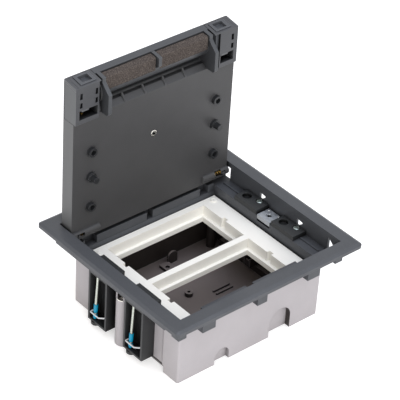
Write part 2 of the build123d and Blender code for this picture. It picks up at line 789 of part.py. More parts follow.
def lid_shell():
    half = lid_x / 2
    body = brick((-half, half), (lid_inner_y, lid_outer_y), (high(lid_bottom), high(lid_top + 3)))
    hinge_edge = body.edges().filter_by(Axis.X).sort_by(lambda e: e.center().Z - e.center().Y)[0]
    body = fillet(hinge_edge, hinge_depth - 0.05)
    body -= slope_cut()
    for side in sides.values():
        body = fillet(free_corners(body, half, side), lid_corner_r)
    body -= brick((-half + lid_rim, half - lid_rim), (lid_y(lid_recess), lid_outer_y + 1),
                  (high(lid_recess_bottom), high(lid_recess_top)))
    edge = high(lid_window_height)
    window = [(lid_inner_y - 1, edge - 0.6), (lid_inner_y, edge - 0.2), (lid_inner_y + 4.8, edge + 3.4),
              (lid_inner_y + 7.6, edge + 3.4), (lid_inner_y + 7.6, edge), (lid_outer_y + 1, edge),
              (lid_outer_y + 1, edge + past_part), (lid_inner_y - 1, edge + past_part)]
    body -= side_profile(window, -latch_inner_x, latch_inner_x)
    for side in sides.values():
        body -= brick(mirrored_x((latch_inner_x - 0.2, past_part), side), (lid_inner_y - 1, lid_y(latch_skin)),
                      (high(latch_bottom - 0.2), high(past_part)))
        barrel = rod((side * barrel_inner_x, lid_inner_y, high(barrel_height)), (side, 0, 0), barrel_r,
                     lid_x / 2 - barrel_inner_x)
        body += barrel - brick((-past_part, past_part), (lid_inner_y + 0.5, lid_outer_y),
                               (high(-past_part), high(0)))
        body -= lid_bores(side)
        for height in boss_heights:
            face = lid_inner_y
            body += rod((side * boss_x, face + 0.5, high(height)), (0, -1, 0), boss_r, boss_h + 0.5)
            body -= rod((side * boss_x, face + 2.5, high(height)), (0, -1, 0), boss_hole_r, boss_h + 4)
        body += rod((side * boss_x, lid_inner_y + 0.5, high(pin_height)), (0, -1, 0), pin_base_r, pin_base_h + 0.5)
        body += rod((side * boss_x, lid_inner_y + 0.5, high(pin_height)), (0, -1, 0), pin_r,
                    pin_base_h + pin_h + 0.5)
    for x in shelf_rib_x:
        rib = side_profile([(lid_inner_y + 0.1, edge - 2.2), (lid_inner_y + 0.1, edge + 1.4),
                            (lid_inner_y + 4.6, edge + 5.0), (lid_inner_y + 5.6, edge + 2.8)],
                           x - shelf_rib_w / 2, x + shelf_rib_w / 2)
        body += rib
    screw = (0, lid_inner_y - 1, high(lid_screw_height))
    body -= rod(screw, (0, 1, 0), lid_screw_r + 0.1, 20)
    body -= rod(screw, (0, 1, 0), lid_screw_head_r + 0.3, 1 + lid_screw_head_t)
    return body


def lid_plate():
    gap = lid_plate_gap
    y0 = lid_y(lid_recess)
    half = lid_x / 2 - lid_rim - gap
    body = brick((-half, half), (y0, y0 + lid_plate_t),
                 (high(lid_recess_bottom + gap), high(lid_recess_top - gap)))
    corners = body.edges().filter_by(Axis.Y)
    body = fillet(corners, 2.0)
    return body - rod((0, y0 - 1, high(lid_screw_height)), (0, 1, 0), lid_screw_r + 0.1, 5)


def lid_screw():
    head = Cylinder(lid_screw_head_r, lid_screw_head_t, align=LOW)
    head -= cross_recess(lid_screw_head_r, 0.8)
    shank = Cylinder(lid_screw_r, lid_t - lid_recess + lid_plate_t + 1.2, align=LOW)
    plane = Plane(origin=(0, lid_inner_y, high(lid_screw_height)), z_dir=(0, 1, 0))
    return plane * (head + shank)


# Hinge pins of the lid

def hinge_pin(side):
    barrel_z = high(barrel_height)
    body = rod((side * hinge_pin_inner_x, hinge_y, deep(hinge_depth)), (side, 0, 0), hinge_pin_r,
               half_open_x + hinge_pin_reach - hinge_pin_inner_x)
    body += brick(mirrored_x(hinge_arm, side), (lid_inner_y - 1.5, hinge_y),
                  (barrel_z - hinge_arm_half, barrel_z + hinge_arm_half))
    body += rod((side * hinge_arm[0], lid_inner_y, barrel_z), (side, 0, 0), barrel_bore_r - 0.3, 5.0)
    body += rod((side * (hinge_arm[0] + hinge_arm[1]) / 2, lid_inner_y, barrel_z), (0, -1, 0), grip_r,
                barrel_r + grip_proud)
    return body


def hinge_spring(side):
    start = barrel_inner_x + 2.9
    length = hinge_arm[0] - start - 0.7
    return coil((side * start, lid_inner_y, high(barrel_height)), (side, 0, 0), hinge_spring_r,
                hinge_spring_wire, length, hinge_spring_turns)


# Latches

def latch_housing(name, side):
    front = lid_inner_y - latch_proud
    back = lid_y(latch_skin)
    body = brick(mirrored_x((latch_inner_x, latch_outer_x), side), (front, back - 0.1),
                 (high(latch_bottom), high(lid_top + 3)))
    body -= slope_cut()
    body = fillet(free_corners(body, latch_outer_x, side), lid_corner_r)
    body -= brick(mirrored_x((latch_inner_x - 1, latch_inner_x + latch_niche[name]), side),
                  (front - 1, front + latch_niche_depth), (high(latch_bottom - 1), high(lid_top - 3.2)))
    guide_x = (bolt_x[0] - bolt_clearance, bolt_x[1] + bolt_clearance)
    guide_y = (lid_inner_y + bolt_y[0] - latch_proud - bolt_clearance,
               lid_inner_y + bolt_y[1] - latch_proud + bolt_clearance)
    body -= brick(mirrored_x(guide_x, side), guide_y, (high(latch_window[0]), high(past_part)))
    body -= brick(mirrored_x(latch_window_span(name), side), (front - 1, guide_y[1]),
                  (high(latch_window[0]), high(latch_window[1])))
    for x in latch_slot_x:
        for low, top in latch_slots:
            if x - latch_slot_w / 2 > latch_inner_x + latch_niche[name]:
                body -= brick(mirrored_x((x - latch_slot_w / 2, x + latch_slot_w / 2), side),
                              (front - 1, front + latch_slot_depth), (high(low), high(top)))
    body -= rod((side * (latch_inner_x - 2), lid_y(flap_pivot_in), high(flap_pivot_height)), (side, 0, 0),
                flap_rod_r + 0.03, 5)
    return body


def latch_window_span(name):
    inner = max(latch_window_x[0], latch_inner_x + latch_niche[name] + 1.2)
    return (inner, latch_window_x[1])


def latch_bolt(side):
    y = (lid_inner_y - latch_proud + bolt_y[0], lid_inner_y - latch_proud + bolt_y[1])
    body = brick(mirrored_x(bolt_x, side), y, (high(bolt_bottom), high(lid_top + 4)))
    body -= Pos(0, 0, bolt_proud) * slope_cut()
    body += brick(mirrored_x(bolt_tail_x, side), (y[0], y[0] + bolt_tail_t),
                  (high(bolt_bottom - bolt_tail_drop), high(bolt_bottom + 1)))
    body -= brick(mirrored_x(bolt_pocket_x, side), (y[0] + bolt_pocket_wall, y[1] - bolt_pocket_wall),
                  (high(lid_top - bolt_pocket_depth), high(past_part)))
    return body


def latch_spring(side):
    y = lid_inner_y - latch_proud + bolt_y[0] + bolt_tail_t + latch_spring_r + 0.6
    start = latch_window[0] + 0.6
    return coil((side * latch_spring_x, y, high(start)), (0, 0, 1), latch_spring_r, latch_spring_wire,
                bolt_bottom - start - 0.7, latch_spring_turns)


# Cable flap

def flap_end_x():
    return latch_inner_x - flap_end_gap


def cable_flap():
    end = flap_end_x()
    skin = brick((-end, end), (lid_y(flap_skin), lid_outer_y), (high(flap_pivot_height), high(lid_top + 3)))
    bar = brick((-end, end), (lid_y(flap_bar_run), lid_outer_y), (high(lid_top - flap_bar_t), high(lid_top + 3)))
    back = brick((-end, end), (lid_y(flap_bar_run), lid_y(flap_bar_run - flap_web_t)),
                 (high(flap_shelf_height), high(lid_top - 1)))
    shelf_front = lid_y(flap_skin) - flap_curve_r
    shelf = brick((-end, end), (shelf_front, lid_outer_y - 0.5),
                  (high(flap_shelf_height - flap_web_t), high(flap_shelf_height)))
    body = skin + bar + back + shelf
    barrel = rod((-end, lid_y(flap_pivot_in), high(flap_pivot_height)), (1, 0, 0), flap_barrel_r, 2 * end)
    body += barrel
    body += curved_web(-end, end)
    inner_fin = end - flap_fin_gap - flap_fin_t
    fin = [(lid_outer_y, high(lid_top + 1))]
    fin += [(lid_y(run), high(lid_top - drop)) for run, drop in flap_fin_upper]
    fin += [(lid_y(run), high(lid_window_height + rise)) for run, rise in flap_fin_lower]
    fin.append((lid_outer_y, high(flap_pivot_height)))
    for side in sides.values():
        x = sorted(mirrored_x((inner_fin, inner_fin + flap_fin_t), side))
        body += side_profile(fin, x[0], x[1])
    rib = [(lid_y(1), high(lid_top - 1)), (lid_y(flap_rib_proud), high(lid_top - 2)),
           (lid_y(flap_rib_proud), high(flap_shelf_height + 2.2)), (lid_y(13.8), high(flap_shelf_height - 1)),
           (lid_y(1), high(flap_shelf_height - 1))]
    body += side_profile(rib, -flap_rib_half, flap_rib_half)
    body -= slope_cut()
    body -= rod((-end - 1, lid_y(flap_pivot_in), high(flap_pivot_height)), (1, 0, 0),
                flap_rod_r + flap_rod_clearance, 2 * end + 2)
    return body


def curved_web(x0, x1):
    """Rounded wall below the foam shelf that leads cables past the edge of the lid."""
    centre = (lid_y(flap_skin), high(flap_shelf_height))
    ring = Pos(*centre) * (Circle(flap_curve_r) - Circle(flap_curve_r - flap_web_t))
    quarter = Pos(centre[0] - flap_curve_r / 2, centre[1] - flap_curve_r / 2) * Rectangle(flap_curve_r,
                                                                                         flap_curve_r)
    plane = Plane(origin=(x0, 0, 0), x_dir=(0, 1, 0), z_dir=(1, 0, 0))
    return extrude(plane * (ring & quarter), x1 - x0)


def flap_rod():
    reach = latch_inner_x + 2.6
    return rod((-reach, lid_y(flap_pivot_in), high(flap_pivot_height)), (1, 0, 0), flap_rod_r, 2 * reach)


def foam_strip(side):
    inner = flap_rib_half + foam_gap
    outer = flap_end_x() - flap_fin_gap - flap_fin_t - foam_gap
    x = mirrored_x((inner, outer), side)
    body = brick(x, (lid_y(foam_front), lid_y(flap_bar_run + foam_gap)), (high(flap_shelf_height), high(lid_top)))
    return body - Pos(0, 0, -0.8) * slope_cut()


def build():
    os.makedirs("parts", exist_ok=True)
    save("outer_frame", outer_frame())
    save("floor_tub", floor_tub())
    save("floor_boss", floor_boss())
    save("module_carrier", module_carrier())
    save("carrier_screws", carrier_screws())
    save("boss_screws", boss_screws())
    save("earth_plate", earth_plate())
    save("earth_screw", earth_screw())
    for name, (side, place) in clamp_names.items():
        save("claw_housing_" + name, placed(claw_housing(), side, place))
        save("clamp_screw_" + name, placed(clamp_screw(), side, place))
        save("clamp_sleeve_" + name, placed(clamp_sleeve(), side, place))
        save("clip_wire_" + name, placed(clip_wire(), side, place))
        save("claw_foot_" + name, placed(claw_foot(), side, place))
    save("lid_shell", lid_shell())
    save("lid_plate", lid_plate())
    save("lid_screw", lid_screw())
    for name, side in sides.items():
        save("hinge_pin_" + name, hinge_pin(side))
        save("hinge_spring_" + name, hinge_spring(side))
        save("latch_housing_" + name, latch_housing(name, side))
        save("latch_bolt_" + name, latch_bolt(side))
        save("latch_spring_" + name, latch_spring(side))
        save("foam_strip_" + name, foam_strip(side))
    save("cable_flap", cable_flap())
    save("flap_rod", flap_rod())


build()
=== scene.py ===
import json
import math

import bmesh
import bpy
from mathutils import Euler, Matrix, Vector, noise


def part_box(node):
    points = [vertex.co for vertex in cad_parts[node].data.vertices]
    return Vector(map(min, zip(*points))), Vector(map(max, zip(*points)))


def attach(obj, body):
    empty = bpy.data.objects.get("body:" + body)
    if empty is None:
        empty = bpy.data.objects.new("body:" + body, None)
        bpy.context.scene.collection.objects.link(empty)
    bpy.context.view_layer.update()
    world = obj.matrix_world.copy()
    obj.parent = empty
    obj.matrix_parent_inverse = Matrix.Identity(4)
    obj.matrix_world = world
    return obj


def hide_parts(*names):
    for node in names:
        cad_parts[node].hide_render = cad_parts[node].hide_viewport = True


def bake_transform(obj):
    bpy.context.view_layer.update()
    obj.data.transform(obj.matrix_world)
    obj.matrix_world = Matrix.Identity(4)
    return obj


# Floor socket box with its lid open. Metres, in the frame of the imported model.
with open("model.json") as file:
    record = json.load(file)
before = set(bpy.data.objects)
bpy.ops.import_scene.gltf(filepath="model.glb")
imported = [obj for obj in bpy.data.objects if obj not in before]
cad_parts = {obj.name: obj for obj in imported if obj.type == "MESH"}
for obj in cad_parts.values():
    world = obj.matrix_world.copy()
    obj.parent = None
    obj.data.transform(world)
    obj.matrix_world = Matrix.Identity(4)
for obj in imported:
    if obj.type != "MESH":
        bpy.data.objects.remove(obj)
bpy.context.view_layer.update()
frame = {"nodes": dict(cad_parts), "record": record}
nodes = frame["nodes"]
record = frame["record"]

MM = 0.001
FLOOR_LEVEL = 79.5 * MM
LID_THICKNESS, PLATE_RECESS = 13.6 * MM, 8.0 * MM
LID_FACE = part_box("lid_plate")[0].y - (LID_THICKNESS - PLATE_RECESS)
LID_END = FLOOR_LEVEL + 144.5 * MM
LID_SLOPE = math.tan(math.radians(8.4))
LID_SIDE, LID_CORNER_RADIUS = 86.2 * MM, 3.0 * MM
WINDOW_EDGE = FLOOR_LEVEL + 109.2 * MM
SCREW_LENGTH, TIP_LENGTH = 55.8 * MM, 4.6 * MM
THREAD_PITCH, THREAD_ROOT, THREAD_CREST = 0.5 * MM, 1.27 * MM, 1.45 * MM
FOAM_BULGE, FOAM_HANG = 0.25 * MM, 2.8 * MM
COLUMN_X = 80.6 * MM
# The room inside the tub, whose walls and floor get painted shade, browner and darker than the outside
ROOM_HALF_X, ROOM_HALF_Y, ROOM_LOW = 75.6 * MM, 62.0 * MM, 1.2 * MM
CLAMPS = ("rear_left", "front_left", "rear_right", "front_right")
SIDES = {"left": -1, "right": 1}


# Materials

def linear(colour):
    """sRGB hex value to the linear colour that a shader takes."""
    parts = [int(colour[i:i + 2], 16) / 255 for i in (1, 3, 5)]
    return tuple(c / 12.92 if c <= 0.04045 else ((c + 0.055) / 1.055) ** 2.4 for c in parts) + (1.0,)


def add(tree, kind, values=None, **settings):
    """Adds a shader node with its settings; a value that is a socket is linked."""
    made = tree.nodes.new(kind)
    for name, value in settings.items():
        setattr(made, name, value)
    for name, value in (values or {}).items():
        if isinstance(value, bpy.types.NodeSocket):
            tree.links.new(value, made.inputs[name])
        else:
            made.inputs[name].default_value = value
    return made


def new_material(name):
    material = bpy.data.materials.new(name)
    material.use_nodes = True
    tree = material.node_tree
    tree.nodes.clear()
    place = add(tree, "ShaderNodeTexCoord").outputs["Object"]
    return material, tree, place


def moulded_plastic(name, body, cloud, edge, rough=0.5, grain=0.35, relief=0.05, corner=0.35,
                    hollow="#161617", reach=9.0, open_from=0.2, open_to=0.75, speckle=0.09, inside=None,
                    sides=None, proud=None):
    """Injection-moulded plastic with a spark-eroded grain, faint clouding, edges painted paler as a highlight and
    hollows darkened by painted shade. grain is the size of the grain, corner the radius of the moulded edges and
    reach the size of the hollows that take painted shade, all in millimetres. inside is the pair of colours of
    painted shade on the walls and the floor of the tub's room, and sides the colour painted on the faces that
    look along X, lighter as if lit from the side. proud is a depth, a lowest and a highest point, between which
    the features that stand on the face are glossier and darker by painted shade."""
    material, tree, place = new_material(name)
    clouds = add(tree, "ShaderNodeTexNoise", {"Vector": place, "Scale": 28.0, "Detail": 4.0, "Roughness": 0.6})
    flow = add(tree, "ShaderNodeMapRange", {"Value": clouds.outputs["Fac"], "From Min": 0.3, "From Max": 0.7})
    pits = add(tree, "ShaderNodeTexNoise", {"Vector": place, "Scale": 1 / (grain * MM * 2), "Detail": 3.0,
                                            "Roughness": 0.7})
    rounded = add(tree, "ShaderNodeBevel", {"Radius": corner * MM}, samples=6)
    flat = add(tree, "ShaderNodeNewGeometry")
    turn = add(tree, "ShaderNodeVectorMath", {0: rounded.outputs["Normal"], 1: flat.outputs["Normal"]},
               operation="DOT_PRODUCT")
    edge_turn = add(tree, "ShaderNodeMapRange", {"Value": turn.outputs["Value"], "From Min": 0.995, "From Max": 0.86})
    tone = add(tree, "ShaderNodeMix", {"Factor": flow.outputs["Result"], "A": linear(body), "B": linear(cloud)},
               data_type="RGBA")
    speck = add(tree, "ShaderNodeMapRange", {"Value": pits.outputs["Fac"], "From Min": 0.3, "From Max": 0.7,
                                             "To Min": 1 - speckle, "To Max": 1 + speckle})
    grained = add(tree, "ShaderNodeVectorMath", {0: tone.outputs[2], "Scale": speck.outputs["Result"]},
                  operation="SCALE")
    # painted shade: ambient occlusion within reach finds the hollows that are painted dark
    recess = add(tree, "ShaderNodeAmbientOcclusion", {"Distance": reach * MM}, samples=8)
    shade = add(tree, "ShaderNodeMapRange", {"Value": recess.outputs["AO"], "From Min": open_from,
                                             "From Max": open_to})
    plain = grained.outputs["Vector"]
    normal = add(tree, "ShaderNodeSeparateXYZ", {"Vector": flat.outputs["Normal"]})
    # painted shade: faces that look into the tub's room, or lie within its box, take the inside colours, darker on
    # the walls than on the floor
    if inside:
        inward = add(tree, "ShaderNodeVectorMath", {0: flat.outputs["Normal"], 1: place}, operation="DOT_PRODUCT")
        facing = add(tree, "ShaderNodeMapRange", {"Value": inward.outputs["Value"], "From Min": 0.004,
                                                  "From Max": 0.0025})
        room = add(tree, "ShaderNodeVectorMath", {0: place}, operation="ABSOLUTE")
        room = add(tree, "ShaderNodeSeparateXYZ", {"Vector": room.outputs["Vector"]})
        wide = add(tree, "ShaderNodeMath", {0: room.outputs["X"], 1: ROOM_HALF_X}, operation="LESS_THAN")
        deep = add(tree, "ShaderNodeMath", {0: room.outputs["Y"], 1: ROOM_HALF_Y}, operation="LESS_THAN")
        off = add(tree, "ShaderNodeMath", {0: room.outputs["Z"], 1: ROOM_LOW}, operation="GREATER_THAN")
        held = add(tree, "ShaderNodeMath", {0: wide.outputs[0], 1: deep.outputs[0]}, operation="MULTIPLY")
        held = add(tree, "ShaderNodeMath", {0: held.outputs[0], 1: off.outputs[0]}, operation="MULTIPLY")
        either = add(tree, "ShaderNodeMath", {0: held.outputs[0], 1: facing.outputs["Result"]}, operation="MAXIMUM")
        level = add(tree, "ShaderNodeMapRange", {"Value": normal.outputs["Z"], "From Min": 0.3, "From Max": 0.7})
        floor = add(tree, "ShaderNodeMix", {"Factor": level.outputs["Result"], "A": linear(inside[0]),
                                            "B": linear(inside[1])}, data_type="RGBA")
        plain = add(tree, "ShaderNodeMix", {"Factor": either.outputs[0], "A": plain, "B": floor.outputs[2]},
                    data_type="RGBA").outputs[2]
    # painted light: faces that look along X take the lighter sides colour, as if lit from the side
    if sides:
        level = add(tree, "ShaderNodeMath", {0: normal.outputs["X"]}, operation="ABSOLUTE")
        smooth = add(tree, "ShaderNodeMapRange", {"Value": level.outputs[0], "From Min": 0.9, "From Max": 0.99})
        plain = add(tree, "ShaderNodeMix", {"Factor": smooth.outputs["Result"], "A": plain, "B": linear(sides)},
                    data_type="RGBA").outputs[2]
    # painted shade: the hollows are mixed towards the hollow colour
    painted_shade = add(tree, "ShaderNodeMix", {"Factor": shade.outputs["Result"], "A": linear(hollow), "B": plain},
                 data_type="RGBA")
    # painted shade: features standing proud of the face, between the given heights, are mixed to a dark colour
    if proud:
        at = add(tree, "ShaderNodeSeparateXYZ", {"Vector": place})
        nearer = add(tree, "ShaderNodeMath", {0: at.outputs["Y"], 1: proud[0]}, operation="LESS_THAN")
        above = add(tree, "ShaderNodeMath", {0: at.outputs["Z"], 1: proud[1]}, operation="GREATER_THAN")
        below = add(tree, "ShaderNodeMath", {0: at.outputs["Z"], 1: proud[2]}, operation="LESS_THAN")
        both = add(tree, "ShaderNodeMath", {0: above.outputs[0], 1: below.outputs[0]}, operation="MULTIPLY")
        stands = add(tree, "ShaderNodeMath", {0: nearer.outputs[0], 1: both.outputs[0]}, operation="MULTIPLY")
        painted_shade = add(tree, "ShaderNodeMix", {"Factor": stands.outputs[0], "A": painted_shade.outputs[2],
                                             "B": linear("#232426")}, data_type="RGBA")
    # painted highlight: edges where the rounded normal turns away from the flat one take the paler edge colour
    edge_highlight = add(tree, "ShaderNodeMath", {0: edge_turn.outputs["Result"], 1: 0.55}, operation="MULTIPLY")
    colour = add(tree, "ShaderNodeMix", {"Factor": edge_highlight.outputs[0], "A": painted_shade.outputs[2],
                                         "B": linear(edge)}, data_type="RGBA")
    gloss = add(tree, "ShaderNodeMapRange", {"Value": clouds.outputs["Fac"], "From Min": 0.3, "From Max": 0.7,
                                             "To Min": rough - 0.05, "To Max": rough + 0.07})
    if proud:
        gloss = add(tree, "ShaderNodeMapRange", {"Value": stands.outputs[0], "To Min": rough, "To Max": 0.3})
    bump = add(tree, "ShaderNodeBump", {"Height": pits.outputs["Fac"], "Strength": 0.5, "Distance": relief * MM,
                                        "Normal": rounded.outputs["Normal"]})
    shader = add(tree, "ShaderNodeBsdfPrincipled", {"Base Color": colour.outputs[2], "IOR": 1.49,
                                                    "Roughness": gloss.outputs["Result"],
                                                    "Specular IOR Level": 0.4,
                                                    "Normal": bump.outputs["Normal"]})
    add(tree, "ShaderNodeOutputMaterial", {"Surface": shader.outputs[0]})
    return material


def plated_steel(name, body, patch, rough=0.32, spangle=3.0, corner=0.2):
    """Plated or galvanised steel: metal with slightly darker patches and faint drawing lines."""
    material, tree, place = new_material(name)
    cells = add(tree, "ShaderNodeTexVoronoi", {"Vector": place, "Scale": 1 / (spangle * MM), "Randomness": 1.0})
    stretch = add(tree, "ShaderNodeMapping", {"Vector": place, "Scale": (1.0, 1.0, 40.0)})
    lines = add(tree, "ShaderNodeTexNoise", {"Vector": stretch.outputs["Vector"], "Scale": 400.0, "Detail": 2.0})
    shade = add(tree, "ShaderNodeSeparateColor", {"Color": cells.outputs["Color"]})
    colour = add(tree, "ShaderNodeMix", {"Factor": shade.outputs["Red"], "A": linear(body), "B": linear(patch)},
                 data_type="RGBA")
    gloss = add(tree, "ShaderNodeMapRange", {"Value": lines.outputs["Fac"], "From Min": 0.3, "From Max": 0.7,
                                             "To Min": rough - 0.06, "To Max": rough + 0.1})
    rounded = add(tree, "ShaderNodeBevel", {"Radius": corner * MM}, samples=6)
    bump = add(tree, "ShaderNodeBump", {"Height": lines.outputs["Fac"], "Strength": 0.1,
                                        "Distance": 0.02 * MM, "Normal": rounded.outputs["Normal"]})
    shader = add(tree, "ShaderNodeBsdfPrincipled", {"Base Color": colour.outputs[2], "Metallic": 1.0,
                                                    "Roughness": gloss.outputs["Result"],
                                                    "Normal": bump.outputs["Normal"]})
    add(tree, "ShaderNodeOutputMaterial", {"Surface": shader.outputs[0]})
    return material


def open_foam(name, body, cell, dark):
    """Open-cell polyurethane foam: small dark cells between pale struts, quite matt."""
    material, tree, place = new_material(name)
    cells = add(tree, "ShaderNodeTexVoronoi", {"Vector": place, "Scale": 1 / (0.85 * MM), "Randomness": 1.0},
                feature="F1")
    fine = add(tree, "ShaderNodeTexNoise", {"Vector": place, "Scale": 900.0, "Detail": 4.0, "Roughness": 0.75})
    mixed = add(tree, "ShaderNodeMath", {0: cells.outputs["Distance"], 1: fine.outputs["Fac"]},
                operation="MULTIPLY")
    shade = add(tree, "ShaderNodeValToRGB", {"Fac": mixed.outputs[0]})
    stops = shade.color_ramp.elements
    stops[0].position, stops[0].color = 0.04, linear(dark)
    stops[1].position, stops[1].color = 0.42, linear(cell)
    stops.new(0.2).color = linear(body)
    bump = add(tree, "ShaderNodeBump", {"Height": mixed.outputs[0], "Strength": 0.9, "Distance": 0.5 * MM})
    shader = add(tree, "ShaderNodeBsdfPrincipled", {"Base Color": shade.outputs["Color"],
                                                    "Roughness": 0.95, "Specular IOR Level": 0.15,
                                                    "Normal": bump.outputs["Normal"]})
    add(tree, "ShaderNodeOutputMaterial", {"Surface": shader.outputs[0]})
    return material


# Glass-filled ABS, graphite grey
graphite_abs = moulded_plastic("graphite_moulded_abs", "#47494D", "#424448", "#5C5F66", rough=0.45)
# The same plastic on the lid: a browner inner face, sides painted lighter as if lit from the side, and glossy bosses
# darkened by painted shade
lid_abs = moulded_plastic("lid_moulded_abs", "#3F3F40", "#3A3A3B", "#57585B", rough=0.48, speckle=0.06,
                          sides="#5C5D5E", proud=(0.0655, 0.0895, 0.186))
# The same plastic on the flap, with painted shade in the hollow below the foam
flap_abs = moulded_plastic("flap_moulded_abs", "#45474A", "#404245", "#666A71", rough=0.45, hollow="#2A2B2D",
                           reach=30.0, open_from=0.4, open_to=0.96)
# The same plastic round the latches: painted shade makes their deep windows black, and faces that look along X are
# painted lighter as if lit from the side
latch_abs = moulded_plastic("latch_moulded_abs", "#46474A", "#424346", "#686A6F", rough=0.45, hollow="#050506",
                            reach=15.0, open_from=0.34, open_to=0.7, sides="#56585A")
# Latch bolts: the same plastic, with little painted shade so that the floor of their pockets shows, and edges painted
# pale as a highlight
bolt_abs = moulded_plastic("bolt_moulded_abs", "#4A4C50", "#46484C", "#8A8D93", rough=0.4, corner=0.5, reach=2.0)
# The same plastic, paler: a painted highlight on the tails of the bolts
lit_tail_abs = moulded_plastic("lit_tail_moulded_abs", "#66686B", "#5E6063", "#8C8E92", rough=0.35, reach=1.0)
# Tub in polystyrene, pale with a lavender cast; painted shade makes its inside brownish and dark, the walls darker
# than the floor, and darkens its hollows
tub_styrene = moulded_plastic("lavender_moulded_polystyrene", "#AFABAE", "#AAA6A9", "#BDB9BC", rough=0.5,
                              grain=0.5, hollow="#2A2422", reach=16.0, open_from=0.1, open_to=0.5,
                              speckle=0.02, relief=0.01, inside=("#2A2523", "#746B68"))
# Carrier in polycarbonate, nearly white and smoother
carrier_polycarbonate = moulded_plastic("white_moulded_polycarbonate", "#F5F3EC", "#F3F1EA", "#F8F6F0",
                                        rough=0.35, grain=0.6, relief=0.004, hollow="#F1EFE8", speckle=0.01)
# Claw housings in nylon, dark graphite, with painted shade that makes them black inside
black_nylon = moulded_plastic("black_moulded_nylon", "#2E2F30", "#2A2B2C", "#434446", rough=0.45, grain=0.3,
                              hollow="#050505", reach=18.0, open_from=0.3, open_to=0.7)
# Clamp sleeves in coloured nylon, bright and glossy
blue_nylon = moulded_plastic("blue_moulded_nylon", "#0F93B8", "#0C87AA", "#3DAFCD", rough=0.3, relief=0.01,
                             reach=0.6, speckle=0.03)
# Coated wire of the clips, off-white with a soft gloss
white_coated_wire = moulded_plastic("white_coated_wire", "#D8DADC", "#CED1D4", "#E6E7E9", rough=0.3,
                                    relief=0.01, corner=0.1, reach=1.0)
# Zinc-plated sheet: bluish grey and satin
zinc_steel = plated_steel("zinc_plated_steel", "#C0C3C6", "#B9BCC1", rough=0.5, spangle=1.0)
# Hot-dip galvanised sheet: pale spangles of about 4 mm
galvanised_steel = plated_steel("galvanised_sheet_steel", "#B6BABE", "#AEB2B7", rough=0.42, spangle=4.0)
# Drawn steel of the threaded rods: brighter, slightly warm
bright_steel = plated_steel("bright_drawn_steel", "#C9CCC2", "#B9BDB2", rough=0.3, spangle=1.0)
# Heads of the clamp screws, pale with a green cast, and the dark dish of the earth screw, painted shade in its recess
head_steel = plated_steel("passivated_screw_heads", "#DCE6DF", "#CBD6CE", rough=0.3, spangle=1.0)
dark_steel = plated_steel("recess_shade_steel", "#2B2C2E", "#222325", rough=0.5, spangle=1.0)
# Nickel plate of the screw in the lid, warm and bright
nickel_steel = plated_steel("nickel_plated_steel", "#F1EEE6", "#E4E0D6", rough=0.22, spangle=1.0)
# Drawn brass wire: yellow with darker patches
spring_brass = plated_steel("brass_spring_wire", "#A98A4C", "#8F713A", rough=0.25, spangle=0.8)
# Polyurethane foam: matt brownish grey. Its cells are drawn coarser than real, at 0.85 mm, so that they show
grey_foam = open_foam("open_cell_polyurethane_foam", "#453F3C", "#605853", "#2C2826")

finishes = {
    "graphite_plastic": graphite_abs,
    "lid_plastic": lid_abs,
    "tub_plastic": tub_styrene,
    "carrier_plastic": carrier_polycarbonate,
    "black_plastic": black_nylon,
    "blue_plastic": blue_nylon,
    "white_wire": white_coated_wire,
    "zinc_steel": zinc_steel,
    "galvanised_steel": galvanised_steel,
    "steel": bright_steel,
    "brass": spring_brass,
    "foam": grey_foam,
}
# Nodes that differ from the rest of their slot, by the name without its last word
special = {"latch_housing": latch_abs, "latch_bolt": bolt_abs, "cable": flap_abs, "boss": nickel_steel}
for part in record["subparts"]:
    piece = nodes[part["node"]]
    for holder in piece.material_slots:
        holder.material = finishes[part["material_slot"]]
        holder.material = special.get(part["node"].rsplit("_", 1)[0], holder.material)


# New pieces

def piece_from(mesh, name, body, material, smooth=True):
    """Makes a named piece of a bmesh that is already in place, and lets it ride on a body when one is
    given."""
    data = bpy.data.meshes.new(name)
    mesh.to_mesh(data)
    mesh.free()
    for face in data.polygons:
        face.use_smooth = smooth
    made = bpy.data.objects.new(name, data)
    bpy.context.scene.collection.objects.link(made)
    data.materials.append(material)
    if body:
        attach(made, body)
    return made


def foam_strip(side):
    """Foam strip with cut cells: a rounded block whose skin is pitted by seeded noise.
    It bulges over the front edge of its shelf."""
    low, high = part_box("foam_strip_" + side)
    low -= Vector((0, FOAM_BULGE, FOAM_HANG))
    size = high - low
    mesh = bmesh.new()
    bmesh.ops.create_cube(mesh, size=1.0)
    bmesh.ops.scale(mesh, vec=size, verts=mesh.verts)
    bmesh.ops.translate(mesh, vec=(low + high) / 2, verts=mesh.verts)
    for vert in mesh.verts:
        if vert.co.z > (low.z + high.z) / 2:
            vert.co.z = high.z - (high.y - vert.co.y) * LID_SLOPE
    bmesh.ops.bevel(mesh, geom=mesh.edges, offset=1.0 * MM, segments=2, profile=0.5, affect="EDGES", material=-1)
    cuts = [edge for edge in mesh.edges if edge.calc_length() > 30 * MM]
    bmesh.ops.subdivide_edges(mesh, edges=cuts, cuts=70, use_grid_fill=True)
    cross = [edge for edge in mesh.edges if 3 * MM < edge.calc_length()]
    bmesh.ops.subdivide_edges(mesh, edges=cross, cuts=9, use_grid_fill=True)
    mesh.normal_update()
    for vert in mesh.verts:
        depth = noise.noise(vert.co / (1.3 * MM)) + 0.6 * noise.noise(vert.co / (0.7 * MM))
        vert.co -= vert.normal * (0.1 * MM + 0.28 * MM * max(-0.3, depth))
    strip = piece_from(mesh, "foam_pad_" + side, "flap", grey_foam)
    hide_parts("foam_strip_" + side)
    return strip


def closed(mesh):
    """Merges doubles, fills open ends and turns all faces outwards."""
    bmesh.ops.remove_doubles(mesh, verts=mesh.verts, dist=0.002 * MM)
    bmesh.ops.holes_fill(mesh, edges=[edge for edge in mesh.edges if edge.is_boundary], sides=0)
    bmesh.ops.recalc_face_normals(mesh, faces=mesh.faces)
    return mesh


